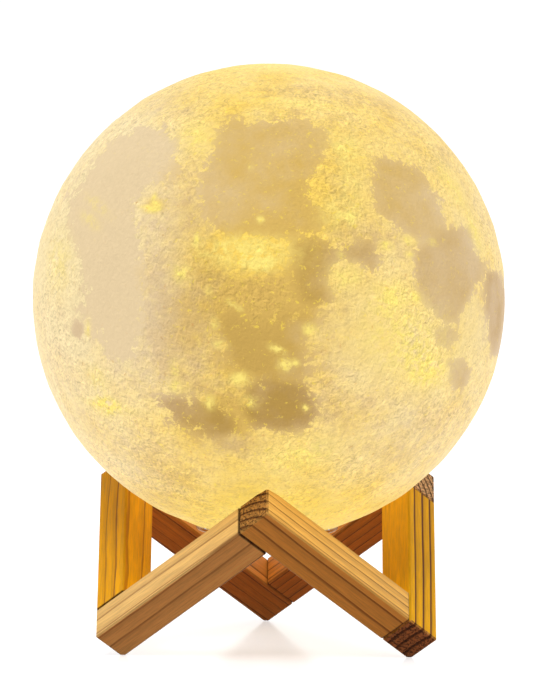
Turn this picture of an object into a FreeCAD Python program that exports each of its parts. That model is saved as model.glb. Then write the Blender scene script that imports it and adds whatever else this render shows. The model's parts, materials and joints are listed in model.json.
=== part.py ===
"""Moon lamp: a hollow moon-shaped globe with a light base, resting in a stand of six square rails.

The stand's six rails lie along the six edges of a cube that zigzag round its body diagonal, and the
diagonal stands upright. Each rail butts against the side of the next one, and a dowel holds the joint.
Millimetres, +Z up. The origin is on the table, under the middle of the stand. The joint between the two
front rails points to -Y.
"""
import FreeCAD, Part

import math
import os
import re

import Sketcher

doc = FreeCAD.newDocument("moon_lamp")
sheet = doc.addObject("Spreadsheet::Sheet", "Sizes")

# alias: (size in millimetres, or a plain count or angle; what it is)
SIZES = {
    # stand
    "frame_side": (76.0, "side of the cube that the outer faces of the rails lie on"),
    "bar_width": (12.3, "square section of a rail"),
    "bar_ease": (0.5, "bevel of a rail's edges"),
    "foot_flat": (1.0, "height sanded off each foot corner"),
    "seat_depth": (1.2, "depth of the hollow that seats the moon in each upper tip"),
    "seat_gap": (0.3, "room between the moon and its seats"),
    "dowel_radius": (2.5, "dowel in each joint"),
    "dowel_slip": (0.05, "room round a dowel"),
    "dowel_side_depth": (8.0, "dowel's depth in the rail that is butted against"),
    "dowel_end_depth": (10.0, "dowel's depth in the end of the butting rail"),
    # moon shell; heights below are above the moon's lowest point
    "moon_radius": (75.0, "outside of the moon"),
    "shell_wall": (1.6, "printed wall"),
    "opening_radius": (23.0, "round opening under the moon"),
    # collar bonded into the opening
    "fit_gap": (0.1, "room round the charge light"),
    "collar_wall": (2.3, "collar's thickness"),
    "collar_lip": (4.1, "reach of the collar's lip over the shell's inside"),
    "collar_lip_height": (1.55, "thickness of the lip"),
    "collar_top": (9.6, "collar's upper face"),
    # light base
    "base_gap": (0.2, "room round the light base in its collar"),
    "base_wall": (1.5, "wall of the light base"),
    "base_bottom": (3.2, "lower face of the light base"),
    "base_flange": (1.35, "thickness of its flange"),
    "flange_inset": (0.3, "room between its flange and the edge of the opening"),
    "board_ledge": (1.0, "ledge inside it that the control board is bonded to"),
    "board_ledge_height": (1.2, "height of that ledge"),
    "deck_top": (27.2, "upper face of its deck"),
    "deck_thickness": (1.6, "its deck"),
    "screw_count": (3, "screws of the light base, and of the light board"),
    "base_screw_turn": (90.0, "angle of the first of the light base's screws"),
    "base_screw_radius": (0.7, "screw that holds the light base"),
    "base_screw_head": (1.05, "head of that screw"),
    "base_screw_sink": (0.55, "depth of its head"),
    "base_screw_length": (4.4, "length under the head"),
    "screw_slip": (0.05, "room round a screw"),
    # touch ring and bottom cover
    "ring_bottom": (2.0, "lower face of the touch ring"),
    "ring_width": (5.2, "breadth of the touch ring"),
    "ring_inset": (0.5, "room between the ring and the edge of the opening"),
    "ring_ease": (0.4, "rounding of its edges"),
    "cover_bottom": (2.4, "lower face of the bottom cover"),
    "cover_top": (4.4, "its upper face"),
    "cover_ledge": (1.6, "its ledge over the ring"),
    # button and switch
    "button_radius": (3.4, "button"),
    "button_slip": (0.2, "room round the button"),
    "button_bottom": (2.2, "face of the button"),
    "button_flange": (1.1, "reach of its flange"),
    "button_flange_height": (0.6, "its flange"),
    "button_nib_radius": (1.2, "nib that pushes the switch"),
    "button_nib_height": (0.7, "its nib"),
    "switch_width": (6.0, "square body of the switch"),
    "switch_bottom": (6.5, "its lower face"),
    "plunger_radius": (1.6, "switch's plunger"),
    "plunger_height": (1.5, "its height"),
    "plunger_well": (1.5, "depth of the hole that it slides in"),
    "plunger_slip": (0.08, "room round it"),
    # control board and what is on it
    "board_slip": (0.2, "room round the control board"),
    "board_bottom": (10.0, "its lower face"),
    "board_thickness": (1.2, "control board"),
    "port_place": (10.5, "charging port, behind the middle"),
    "port_width": (8.9, "its shell"),
    "port_height": (3.2, "its shell"),
    "port_wall": (0.3, "its shell"),
    "port_recess": (0.3, "how far it lies inside the cover"),
    "port_slip": (0.25, "room round it in the cover"),
    "port_tongue_width": (6.6, "tongue inside it"),
    "port_tongue_height": (0.7, "tongue inside it"),
    "port_tongue_recess": (0.9, "how far the tongue lies inside the mouth"),
    "port_floor": (1.2, "its closed end"),
    "lens_place": (9.0, "charge light, in front of the middle"),
    "lens_radius": (1.1, "charge light"),
    "contact_bite": (0.45, "touch contact, from the ring's inner edge to its middle"),
    "contact_width": (2.4, "touch contact"),
    "contact_thickness": (0.3, "touch contact"),
    "contact_foot": (0.9, "length of its foot on the ring"),
    # battery
    "battery_room": (1.0, "room between the battery's corners and the light base"),
    "battery_height": (6.0, "battery pouch"),
    "battery_round": (1.5, "rounding of its long edges"),
    "pad_thickness": (1.0, "foam pad between the battery and the deck"),
    "pad_inset": (2.0, "how far the pad stays inside the battery's edge"),
    # light board
    "led_board_thickness": (1.6, "light board"),
    "led_count": (8, "light chips on their circle"),
    "led_turn": (22.5, "angle of the first chip"),
    "led_gap": (0.95, "room between the chips' circle and the screws' heads"),
    "led_length": (3.5, "light chip"),
    "led_width": (2.8, "light chip"),
    "led_height": (0.8, "light chip"),
    "led_screw_edge": (0.6, "light board outside its screws' heads"),
    "led_screw_turn": (60.0, "angle of the first of its screws"),
    "led_screw_radius": (0.9, "its screws"),
    "led_screw_head": (1.6, "their heads"),
    "led_screw_head_height": (1.0, "their heads"),
    "led_screw_bite": (1.3, "how far they reach into the deck"),
    # diffuser
    "diffuser_inset": (1.7, "room between its edge and the deck's"),
    "diffuser_height": (14.3, "its height over the deck"),
    "diffuser_bevel": (6.0, "bevel round its top"),
    "diffuser_wall": (1.2, "diffuser"),
    # wires
    "wire_radius": (0.6, "insulated wire"),
    "wire_spread": (1.0, "half the distance between two wires"),
    "wire_slip": (0.2, "room round a wire in the deck"),
    "lead_room": (0.8, "room between the light board's wires and the diffuser"),
    "lead_gap": (0.6, "room between those wires and the light board's edge"),
    "led_lead_reach": (3.2, "how far they lie over the light board"),
    "battery_lead_reach": (2.0, "how far the battery's wires stand out of its end"),
    "battery_lead_room": (0.4, "room between those wires and the ledge"),
}

# component on the control board: (middle to the right, middle to the back, length, width, height)
CHIPS = {
    "touch_chip": (-6.0, 4.0, 5.0, 4.4, 1.5),
    "charging_chip": (4.5, 6.5, 4.0, 4.0, 2.0),
    "coil": (5.5, -6.0, 6.0, 4.5, 1.4),
    "driver_chip": (-6.5, -8.0, 3.2, 2.5, 1.1),
}
for chip, values in CHIPS.items():
    for part, value in zip(("right", "back", "length", "width", "height"), values):
        SIZES[f"{chip}_{part}"] = (value, f"{chip}, {part}")

for row, (alias, (value, meaning)) in enumerate(SIZES.items(), start=1):
    sheet.set(f"A{row}", meaning)
    sheet.set(f"B{row}", str(value))
    sheet.setAlias(f"B{row}", alias)
doc.recompute()


def size(alias):
    """A driving dimension, as a number."""
    return float(sheet.get(alias))


def on_sheet(text):
    """An expression written with bare names, made to read the sheet."""
    return re.sub(r"\b([a-z_]+)\b", lambda m: f"Sizes.{m[1]}" if m[1] in SIZES else m[1], str(text))


def bind(thing, **expressions):
    """Binds properties to expressions; a double underscore stands for a point in a property's path."""
    for path, text in expressions.items():
        thing.setExpression(path.replace("__", "."), on_sheet(text))
    return thing


# Derived places, as expressions
rail_length = "(frame_side - bar_width)"
foot_drop = f"({rail_length}/sqrt(3) + foot_flat)"
tip_height = f"((2*frame_side + bar_width)/sqrt(3) - {foot_drop})"
tip_reach = f"({rail_length}*sqrt(2/3))"
moon_centre = f"({tip_height} + sqrt((moon_radius + seat_gap - seat_depth)^2 - {tip_reach}^2))"
moon_foot = f"({moon_centre} - moon_radius)"
collar_inner = "(opening_radius - collar_wall)"
collar_bottom = "(base_bottom + base_flange)"
base_radius = f"({collar_inner} - base_gap)"
base_inner = f"({base_radius} - base_wall)"
ring_outer = "(opening_radius - ring_inset)"
cover_radius = f"({ring_outer} - ring_width - base_gap)"
contact_place = f"({ring_outer} - ring_width + contact_bite)"
flange_radius = "(opening_radius - flange_inset)"
board_top = "(board_bottom + board_thickness)"
board_radius = f"({base_inner} - board_slip)"
battery_bottom = "(deck_top - deck_thickness - pad_thickness - battery_height)"
battery_lead_place = f"({base_inner} - board_ledge - battery_lead_room - wire_radius)"
battery_length = f"(2*({battery_lead_place} - battery_lead_reach))"
battery_width = f"(2*sqrt(({base_inner} - battery_room)^2 - ({battery_length}/2)^2))"
diffuser_radius = f"({base_radius} - diffuser_inset)"
led_lead_place = f"({diffuser_radius} - diffuser_wall - lead_room - wire_radius)"
led_board_radius = f"({led_lead_place} - wire_radius - lead_gap)"
led_screw_circle = f"({led_board_radius} - led_screw_edge - led_screw_head)"
led_circle = f"({led_screw_circle} - led_screw_head - led_gap - led_length/2)"
led_board_top = "(deck_top + led_board_thickness)"


# ---------------------------------------------------------------- general tools

def primitive(kind, name, place=("0", "0", "0"), **sizes):
    """A Part primitive whose sizes and place are bound to the sheet."""
    thing = doc.addObject(f"Part::{kind}", name)
    bind(thing, **sizes)
    x, y, z = place
    return bind(thing, Placement__Base__x=x, Placement__Base__y=y, Placement__Base__z=z)


def cut(name, base, *tools):
    """base less the tools."""
    for number, tool in enumerate(tools, start=1):
        last = number == len(tools)
        made = doc.addObject("Part::Cut", name if last else f"{name}_step{number}")
        made.Base, made.Tool = base, tool
        base = made
    return base


def fuse(name, *pieces):
    """The pieces as one solid."""
    made = doc.addObject("Part::MultiFuse", name)
    made.Shapes = list(pieces)
    return made


def group(name, *pieces):
    """The pieces side by side, each its own solid."""
    made = doc.addObject("Part::Compound", name)
    made.Links = list(pieces)
    return made


def origin_plane(body, role):
    return next(feature for feature in body.Origin.OriginFeatures if feature.Role == role)


def sketch_on(body, role, name, lift="0"):
    """A sketch on one of the body's own planes, lifted along the plane's normal."""
    sketch = body.newObject("Sketcher::SketchObject", name)
    sketch.AttachmentSupport = [(origin_plane(body, role), "")]
    sketch.MapMode = "FlatFace"
    bind(sketch, AttachmentOffset__Base__z=lift)
    return sketch


def draw_outline(sketch, corners):
    """A closed outline of straight lines; each corner is a pair of expressions from the origin."""
    points = [FreeCAD.Vector(worked_out(x), worked_out(y), 0) for x, y in corners]
    for here, there in zip(points, points[1:] + points[:1]):
        sketch.addGeometry(Part.LineSegment(here, there), False)
    count = len(points)
    for line in range(count):
        sketch.addConstraint(Sketcher.Constraint("Coincident", line, 2, (line + 1) % count, 1))
    for line, (x, y) in enumerate(corners):
        pin_point(sketch, line, 1, x, y)


def draw_circle(sketch, x, y, radius):
    """A circle placed and sized by expressions."""
    centre = FreeCAD.Vector(worked_out(x), worked_out(y), 0)
    circle = sketch.addGeometry(Part.Circle(centre, FreeCAD.Vector(0, 0, 1), worked_out(radius)), False)
    pin_point(sketch, circle, 3, x, y)
    number = sketch.addConstraint(Sketcher.Constraint("Radius", circle, worked_out(radius)))
    sketch.setExpression(f"Constraints[{number}]", on_sheet(radius))


def pin_point(sketch, line, end, x, y):
    """Holds a point at a distance from the sketch's origin along both axes."""
    for kind, text in (("DistanceX", x), ("DistanceY", y)):
        number = sketch.addConstraint(Sketcher.Constraint(kind, -1, 1, line, end, worked_out(text)))
        sketch.setExpression(f"Constraints[{number}]", on_sheet(text))


def worked_out(text):
    """The present value of an expression, worked out in a spare cell of the sheet."""
    sheet.set("D1", f"={text}")
    sheet.recompute()
    value = sheet.get("D1")
    sheet.clear("D1")
    return float(getattr(value, "Value", value))


def turned(name, label, outline):
    """A body made by turning an outline of (radius, height) corners round the upright axis."""
    body = doc.addObject("PartDesign::Body", name)
    sketch = sketch_on(body, "XZ_Plane", f"{name}_outline")
    draw_outline(sketch, outline)
    turn = body.newObject("PartDesign::Revolution", f"{name}_turn")
    turn.Profile = sketch
    turn.ReferenceAxis = (sketch, ["V_Axis"])
    turn.Angle = 360.0
    body.Tip = turn
    body.Label = label
    return bind(body, Placement__Base__z=moon_foot)


def on_circle(count, radius, start=0.0):
    """Places round the upright axis: (x expression, y expression, angle)."""
    for number in range(count):
        angle = start + 360.0 * number / count
        yield f"{radius}*cos({angle})", f"{radius}*sin({angle})", angle


# ---------------------------------------------------------------- stand

SLOPE = 1 / math.sqrt(3)
REACH = math.sqrt(2 / 3)


def cube_edge(azimuth):
    """A unit edge of the cube: it climbs, heading azimuth degrees to the right of the front."""
    angle = math.radians(azimuth)
    return FreeCAD.Vector(REACH * math.sin(angle), -REACH * math.cos(angle), SLOPE)


RIGHT, LEFT, BACK = cube_edge(60), cube_edge(-60), cube_edge(180)


def edge_rotation(across, up, along):
    """The rotation that lays a rail's own X, Y and Z along three edges, right-handed in this order."""
    if across.cross(up).dot(along) < 0.99:
        raise RuntimeError("the three edges are not right-handed, so they would turn the rail inside out")
    return FreeCAD.Rotation(FreeCAD.Matrix(
        across.x, up.x, along.x, 0,
        across.y, up.y, along.y, 0,
        across.z, up.z, along.z, 0,
        0, 0, 0, 1))


def rail(name, hole_plane, hole_lift):
    """A square rail along its own Z with bevelled edges, a dowel hole in its far end and one in its side."""
    body = doc.addObject("PartDesign::Body", name)
    section = sketch_on(body, "XY_Plane", f"{name}_section")
    draw_outline(section, [("0", "0"), ("bar_width", "0"), ("bar_width", "bar_width"), ("0", "bar_width")])
    pad = body.newObject("PartDesign::Pad", f"{name}_pad")
    pad.Profile = section
    bind(pad, Length=rail_length)
    doc.recompute()
    ease = body.newObject("PartDesign::Chamfer", f"{name}_ease")
    ease.Base = (pad, [f"Edge{number + 1}" for number in range(len(pad.Shape.Edges))])
    bind(ease, Size="bar_ease")
    end = sketch_on(body, "XY_Plane", f"{name}_end_hole_place", rail_length)
    draw_circle(end, "bar_width/2", "bar_width/2", "dowel_radius + dowel_slip")
    end_hole = body.newObject("PartDesign::Pocket", f"{name}_end_hole")
    end_hole.Profile = end
    bind(end_hole, Length="dowel_end_depth + dowel_slip")
    side = sketch_on(body, hole_plane, f"{name}_side_hole_place", hole_lift)
    draw_circle(side, "bar_width/2", "bar_width/2", "dowel_radius + dowel_slip")
    side_hole = body.newObject("PartDesign::Pocket", f"{name}_side_hole")
    side_hole.Profile = side
    bind(side_hole, Length="dowel_side_depth")
    body.Tip = side_hole
    doc.recompute()
    check_holes(name, ease, body)
    return body


def check_holes(name, solid, body):
    """Both dowel holes have to take their material away."""
    bore = math.pi * (size("dowel_radius") + size("dowel_slip")) ** 2
    depth = size("dowel_end_depth") + size("dowel_side_depth") + size("dowel_slip")
    taken = solid.Shape.Volume - body.Shape.Volume
    if abs(taken - bore * depth) > 0.02 * bore * depth:
        raise RuntimeError(f"{name}: the dowel holes take {taken:.1f} mm3 and not {bore * depth:.1f}")


def build_rail(label, lower, turn):
    """One rail. A lower rail climbs from its foot, and an upper one comes down from its tip."""
    name = f"{label}_body"
    spin = FreeCAD.Rotation(FreeCAD.Vector(0, 0, 1), turn)
    if lower:
        body = rail(name, "YZ_Plane", "bar_width")
        lay, left = edge_rotation(LEFT, RIGHT, BACK), "0"
    else:
        body = rail(name, "XZ_Plane", "0")
        lay, left = edge_rotation(BACK, RIGHT, LEFT * -1), "frame_side"
    body.Placement = FreeCAD.Placement(FreeCAD.Vector(), spin.multiply(lay))
    one, two = spin.multVec(RIGHT), spin.multVec(LEFT)
    bind(
        body,
        Placement__Base__x=f"{rail_length}*({one.x:.9f}) + {left}*({two.x:.9f})",
        Placement__Base__y=f"{rail_length}*({one.y:.9f}) + {left}*({two.y:.9f})",
        Placement__Base__z=f"{rail_length}*({one.z:.9f}) + {left}*({two.z:.9f}) - {foot_drop}",
    )
    if lower:
        ground = primitive(
            "Box", f"{label}_ground", ("-frame_side", "-frame_side", "-frame_side"),
            Length="2*frame_side", Width="2*frame_side", Height="frame_side")
        made = cut(f"{label}_cut", body, ground)
    else:
        ball = primitive("Sphere", f"{label}_seat", ("0", "0", moon_centre), Radius="moon_radius + seat_gap")
        made = cut(f"{label}_cut", body, ball)
    made.Label = label
    return made


def build_dowel(number, turn, lower):
    """The dowel of one joint, on the middle line of the rail that butts."""
    pin = doc.addObject("Part::Cylinder", f"dowel_{number}")
    bind(pin, Radius="dowel_radius", Height="dowel_side_depth + dowel_end_depth")
    spin = FreeCAD.Rotation(FreeCAD.Vector(0, 0, 1), turn)
    if lower:  # an upper rail comes down onto the side of a lower one
        axis = spin.multVec(LEFT)
        start = ("frame_side - bar_width/2", "bar_width - dowel_side_depth", "bar_width/2")
    else:  # a lower rail climbs to the side of an upper one
        axis = spin.multVec(BACK) * -1
        start = ("frame_side - bar_width/2", "bar_width/2", "frame_side - bar_width + dowel_side_depth")
    pin.Placement = FreeCAD.Placement(
        FreeCAD.Vector(), FreeCAD.Rotation(FreeCAD.Vector(0, 0, 1), axis))
    edges = [spin.multVec(edge) for edge in (RIGHT, LEFT, BACK)]
    terms = {
        letter: " + ".join(f"({place})*({getattr(edge, letter):.9f})" for place, edge in zip(start, edges))
        for letter in "xyz"
    }
    return bind(
        pin,
        Placement__Base__x=terms["x"],
        Placement__Base__y=terms["y"],
        Placement__Base__z=f"{terms['z']} - {foot_drop}",
    )


def build_stand():
    """Six rails and their dowels. A third of a turn takes each rail to the next of its kind."""
    rails = [
        ("rail_front_right", False, 0), ("rail_rear_right", False, 120), ("rail_left", False, 240),
        ("rail_right", True, 0), ("rail_rear_left", True, 120), ("rail_front_left", True, 240),
    ]
    made = [build_rail(label, lower, turn) for label, lower, turn in rails]
    pins = [
        build_dowel(number, turn, lower)
        for number, (turn, lower) in enumerate(
            [(turn, lower) for lower in (False, True) for turn in (0, 120, 240)], start=1)
    ]
    dowels = group("dowels", *pins)
    dowels.Label = "joint_dowels"
    return made + [dowels]


# ---------------------------------------------------------------- moon

def build_shell():
    """The printed globe: a thin ball with a round opening below."""
    outside = primitive("Sphere", "moon_outside", ("0", "0", moon_centre), Radius="moon_radius")
    inside = primitive("Sphere", "moon_inside", ("0", "0", moon_centre), Radius="moon_radius - shell_wall")
    hole = primitive(
        "Cylinder", "moon_opening", ("0", "0", moon_foot), Radius="opening_radius", Height="moon_radius/2")
    shell = cut("moon_cut", outside, inside, hole)
    shell.Label = "moon_shell"
    return [shell]


def screw_places():
    return on_circle(int(size("screw_count")), "(opening_radius - collar_wall/2)", size("base_screw_turn"))


def build_collar():
    """The ring bonded into the opening, with a lip over the shell's inside and pilot holes for screws."""
    lip = "(opening_radius + collar_lip)"
    meet = "(moon_radius - sqrt((moon_radius - shell_wall)^2 - opening_radius^2))"
    meet_out = f"(moon_radius - sqrt((moon_radius - shell_wall)^2 - {lip}^2))"
    body = turned("collar", "collar_turned", [
        (collar_inner, collar_bottom), ("opening_radius", collar_bottom), ("opening_radius", meet),
        (lip, meet_out), (lip, f"{meet_out} + collar_lip_height"),
        ("opening_radius + collar_lip/2", "collar_top"),
        (collar_inner, "collar_top"),
    ])
    pilots = [
        primitive(
            "Cylinder", f"collar_pilot_{number}", (x, y, f"{moon_foot} + base_bottom"),
            Radius="base_screw_radius + screw_slip", Height="base_screw_sink + base_screw_length + screw_slip")
        for number, (x, y, _) in enumerate(screw_places(), start=1)
    ]
    collar = cut("collar_cut", body, *pilots)
    collar.Label = "shell_collar"
    return [collar]


def build_base():
    """The light base: a cup with a flange below and a deck on top, held by three screws."""
    body = turned("base", "base_turned", [
        (base_inner, "base_bottom"),
        (flange_radius, "base_bottom"),
        (flange_radius, "base_bottom + base_flange"),
        (base_radius, "base_bottom + base_flange"),
        (base_radius, "deck_top"),
        ("0", "deck_top"),
        ("0", "deck_top - deck_thickness"),
        (base_inner, "deck_top - deck_thickness"),
        (base_inner, f"{board_top} + board_ledge_height"),
        (f"{base_inner} - board_ledge", f"{board_top} + board_ledge_height"),
        (f"{base_inner} - board_ledge", board_top),
        (base_inner, board_top),
    ])
    tools = []
    screws = []
    for number, (x, y, _) in enumerate(screw_places(), start=1):
        tools.append(primitive(
            "Cylinder", f"base_hole_{number}", (x, y, f"{moon_foot} + base_bottom"),
            Radius="base_screw_radius + screw_slip", Height="2*base_flange"))
        tools.append(primitive(
            "Cylinder", f"base_sink_{number}", (x, y, f"{moon_foot} + base_bottom"),
            Radius="base_screw_head + screw_slip", Height="base_screw_sink"))
        head = primitive(
            "Cylinder", f"base_screw_head_{number}", (x, y, f"{moon_foot} + base_bottom + screw_slip"),
            Radius="base_screw_head", Height="base_screw_sink - screw_slip")
        shank = primitive(
            "Cylinder", f"base_screw_shank_{number}", (x, y, f"{moon_foot} + base_bottom + screw_slip"),
            Radius="base_screw_radius", Height="base_screw_sink + base_screw_length - screw_slip")
        screws.append(fuse(f"base_screw_{number}", head, shank))
    for number, (x, y, _) in enumerate(led_screw_places(), start=1):
        tools.append(primitive(
            "Cylinder", f"deck_pilot_{number}", (x, y, f"{moon_foot} + deck_top - led_screw_bite - screw_slip"),
            Radius="led_screw_radius + screw_slip", Height="deck_thickness"))
    for number, side in enumerate((-1, 1), start=1):
        tools.append(primitive(
            "Cylinder", f"deck_wire_hole_{number}",
            (led_lead_place, f"{side}*wire_spread", f"{moon_foot} + deck_top - 2*deck_thickness"),
            Radius="wire_radius + wire_slip", Height="3*deck_thickness"))
    cup = cut("base_cut", body, *tools)
    cup.Label = "light_base"
    held = group("base_screw_group", *screws)
    held.Label = "base_screws"
    return [cup, held]


def build_ring_and_cover():
    """The bright touch ring, and the cover with its holes that the ring holds in."""
    ring = turned("ring", "touch_ring", [
        (f"{ring_outer} - ring_width", "ring_bottom + ring_ease"),
        (f"{ring_outer} - ring_width + ring_ease", "ring_bottom"),
        (f"{ring_outer} - ring_ease", "ring_bottom"),
        (ring_outer, "ring_bottom + ring_ease"),
        (ring_outer, "base_bottom"),
        (f"{ring_outer} - ring_width", "base_bottom"),
    ])
    disc = turned("cover", "cover_turned", [
        ("0", "cover_bottom"), (cover_radius, "cover_bottom"), (cover_radius, "base_bottom"),
        (f"{cover_radius} + cover_ledge", "base_bottom"), (f"{cover_radius} + cover_ledge", "cover_top"),
        ("0", "cover_top"),
    ])
    button_hole = primitive(
        "Cylinder", "cover_button_hole", ("0", "0", moon_foot), Radius="button_radius + button_slip",
        Height="2*cover_top")
    lens_hole = primitive(
        "Cylinder", "cover_lens_hole", ("0", "-lens_place", moon_foot), Radius="lens_radius + fit_gap",
        Height="2*cover_top")
    port_hole = stadium(
        "cover_port_hole", "port_width + 2*port_slip", "port_height + 2*port_slip", "0", "2*cover_top")
    slot = primitive(
        "Box", "cover_contact_slot",
        (f"-{contact_place} - contact_thickness/2 - base_gap", "-contact_width/2 - base_gap",
         f"{moon_foot} + base_bottom"),
        Length="contact_foot + 2*base_gap", Width="contact_width + 2*base_gap", Height="cover_top")
    cover = cut("cover_cut", disc, button_hole, lens_hole, port_hole, slot)
    cover.Label = "bottom_cover"
    return [ring, cover]


def stadium(name, width, height, bottom, depth):
    """An upright bar with round ends, at the charging port's place, from bottom upwards by depth."""
    middle = primitive(
        "Box", f"{name}_middle",
        (f"-(({width}) - ({height}))/2", f"port_place - ({height})/2", f"{moon_foot} + {bottom}"),
        Length=f"({width}) - ({height})", Width=height, Height=depth)
    ends = [
        primitive(
            "Cylinder", f"{name}_end_{number}",
            (f"{side}*(({width}) - ({height}))/2", "port_place", f"{moon_foot} + {bottom}"),
            Radius=f"({height})/2", Height=depth)
        for number, side in enumerate((-1, 1), start=1)
    ]
    return fuse(name, middle, *ends)


def build_board():
    """The control board and what it carries."""
    board = primitive(
        "Cylinder", "board", ("0", "0", f"{moon_foot} + board_bottom"), Radius=board_radius,
        Height="board_thickness")
    board.Label = "control_board"
    mouth = "cover_bottom + port_recess"
    depth = f"(board_bottom - ({mouth}))"
    outer = stadium("port_shell", "port_width", "port_height", mouth, depth)
    hollow = stadium(
        "port_hollow", "port_width - 2*port_wall", "port_height - 2*port_wall", mouth, f"{depth} - port_floor")
    tongue = primitive(
        "Box", "port_tongue",
        ("-port_tongue_width/2", "port_place - port_tongue_height/2",
         f"{moon_foot} + {mouth} + port_tongue_recess"),
        Length="port_tongue_width", Width="port_tongue_height", Height=f"{depth} - port_tongue_recess")
    port = fuse("port", cut("port_cut", outer, hollow), tongue)
    port.Label = "charging_port"
    lens = primitive(
        "Cylinder", "lens", ("0", "-lens_place", f"{moon_foot} + cover_bottom"), Radius="lens_radius",
        Height="board_bottom - cover_bottom")
    lens.Label = "charge_light"
    strip = primitive(
        "Box", "contact_strip",
        (f"-{contact_place} - contact_thickness/2", "-contact_width/2", f"{moon_foot} + base_bottom"),
        Length="contact_thickness", Width="contact_width", Height="board_bottom - base_bottom")
    foot = primitive(
        "Box", "contact_foot_box",
        (f"-{contact_place} - contact_thickness/2", "-contact_width/2", f"{moon_foot} + base_bottom"),
        Length="contact_foot", Width="contact_width", Height="contact_thickness")
    contact = fuse("contact", strip, foot)
    contact.Label = "touch_contact"
    chips = [
        primitive(
            "Box", f"{chip}_box",
            (f"{chip}_right - {chip}_length/2", f"{chip}_back - {chip}_width/2", f"{moon_foot} + {board_top}"),
            Length=f"{chip}_length", Width=f"{chip}_width", Height=f"{chip}_height")
        for chip in CHIPS
    ]
    parts = group("chips", *chips)
    parts.Label = "board_chips"
    return [board, port, lens, contact, parts]


def build_button_and_switch():
    """The button, the switch that it pushes, and the switch's plunger."""
    flange_bottom = "(cover_top + button_slip)"
    cap = primitive(
        "Cylinder", "button_cap", ("0", "0", f"{moon_foot} + button_bottom"), Radius="button_radius",
        Height=f"{flange_bottom} - button_bottom")
    flange = primitive(
        "Cylinder", "button_flange_disc", ("0", "0", f"{moon_foot} + {flange_bottom}"),
        Radius="button_radius + button_flange", Height="button_flange_height")
    nib = primitive(
        "Cylinder", "button_nib", ("0", "0", f"{moon_foot} + {flange_bottom}"), Radius="button_nib_radius",
        Height="button_flange_height + button_nib_height")
    button = fuse("button", cap, flange, nib)
    button.Label = "power_button"
    plunger_bottom = f"({flange_bottom} + button_flange_height + button_nib_height)"
    plunger = primitive(
        "Cylinder", "plunger", ("0", "0", f"{moon_foot} + {plunger_bottom}"), Radius="plunger_radius",
        Height="plunger_height")
    plunger.Label = "switch_plunger"
    case = primitive(
        "Box", "switch_case", ("-switch_width/2", "-switch_width/2", f"{moon_foot} + switch_bottom"),
        Length="switch_width", Width="switch_width", Height="board_bottom - switch_bottom")
    well = primitive(
        "Cylinder", "switch_well", ("0", "0", f"{moon_foot} + switch_bottom"),
        Radius="plunger_radius + plunger_slip", Height="plunger_well")
    switch = cut("switch", case, well)
    switch.Label = "tact_switch"
    return [button, plunger, switch]


def build_battery():
    """The battery pouch under the deck, on its foam pad."""
    block = primitive(
        "Box", "battery_block",
        (f"-{battery_length}/2", f"-{battery_width}/2", f"{moon_foot} + {battery_bottom}"),
        Length=battery_length, Width=battery_width, Height="battery_height")
    doc.recompute()
    pouch = doc.addObject("Part::Fillet", "battery_rounded")
    pouch.Base = block
    round_off = size("battery_round")
    boxes = [edge.BoundBox for edge in block.Shape.Edges]
    pouch.Edges = [
        (number, round_off, round_off)
        for number, box in enumerate(boxes, start=1) if box.XLength > box.YLength + box.ZLength
    ]
    pouch.Label = "battery"
    pad = primitive(
        "Box", "pad",
        (f"-{battery_length}/2 + pad_inset", f"-{battery_width}/2 + pad_inset",
         f"{moon_foot} + {battery_bottom} + battery_height"),
        Length=f"{battery_length} - 2*pad_inset", Width=f"{battery_width} - 2*pad_inset",
        Height="pad_thickness")
    pad.Label = "battery_pad"
    return [pouch, pad]


def led_screw_places():
    return on_circle(int(size("screw_count")), led_screw_circle, size("led_screw_turn"))


def build_light_board():
    """The light board with its chips and screws, under the diffuser."""
    disc = primitive(
        "Cylinder", "led_disc", ("0", "0", f"{moon_foot} + deck_top"), Radius=led_board_radius,
        Height="led_board_thickness")
    holes = []
    screws = []
    for number, (x, y, _) in enumerate(led_screw_places(), start=1):
        holes.append(primitive(
            "Cylinder", f"led_hole_{number}", (x, y, f"{moon_foot} + deck_top"),
            Radius="led_screw_radius + screw_slip", Height="led_board_thickness"))
        shank = primitive(
            "Cylinder", f"led_screw_shank_{number}", (x, y, f"{moon_foot} + deck_top - led_screw_bite"),
            Radius="led_screw_radius", Height="led_screw_bite + led_board_thickness")
        head = primitive(
            "Cylinder", f"led_screw_head_{number}", (x, y, f"{moon_foot} + {led_board_top}"),
            Radius="led_screw_head", Height="led_screw_head_height")
        screws.append(fuse(f"led_screw_{number}", shank, head))
    board = cut("led_board_cut", disc, *holes)
    board.Label = "light_board"
    held = group("led_screw_group", *screws)
    held.Label = "light_board_screws"
    chips = []
    chip_places = on_circle(int(size("led_count")), led_circle, size("led_turn"))
    for number, (x, y, angle) in enumerate(chip_places, start=1):
        chip = doc.addObject("Part::Box", f"led_{number}")
        bind(chip, Length="led_length", Width="led_width", Height="led_height")
        chip.Placement = FreeCAD.Placement(
            FreeCAD.Vector(), FreeCAD.Rotation(FreeCAD.Vector(0, 0, 1), angle))
        bind(
            chip,
            Placement__Base__x=f"{x} - led_length/2*cos({angle}) + led_width/2*sin({angle})",
            Placement__Base__y=f"{y} - led_length/2*sin({angle}) - led_width/2*cos({angle})",
            Placement__Base__z=f"{moon_foot} + {led_board_top}",
        )
        chips.append(chip)
    lights = group("leds", *chips)
    lights.Label = "light_chips"
    return [board, held, lights]


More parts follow.
